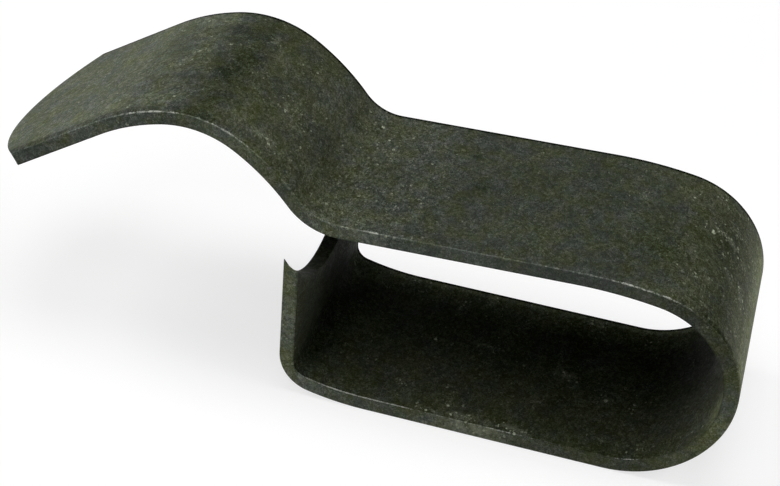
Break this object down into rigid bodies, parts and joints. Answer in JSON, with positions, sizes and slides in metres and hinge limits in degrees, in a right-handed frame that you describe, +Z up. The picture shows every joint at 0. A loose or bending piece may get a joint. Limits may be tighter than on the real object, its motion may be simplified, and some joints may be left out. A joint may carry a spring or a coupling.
{
  "type": "chassis clip",
  "caption": "Bent spring-steel strip clip: a flat loop with horned short leg grips a flange edge, and an arched arm with a rounded tail holds a line down on it.",
  "frame": {"origin": "middle of the flat underside of the loop's base, where the clip rests", "axes": "+X along the clip from the arm's tail towards the round bend, Y across the strip, +Z up from the base to the arm"},
  "size_m": [0.0523, 0.016, 0.0198],
  "materials": {
    "phosphated_steel": "dark olive-black phosphate and oil on spring steel, dull, with fine pale scuffs and rubbed edges"
  },
  "bodies": {
    "root": {"spring_clip": "phosphated_steel"}
  },
  "joints": []
}
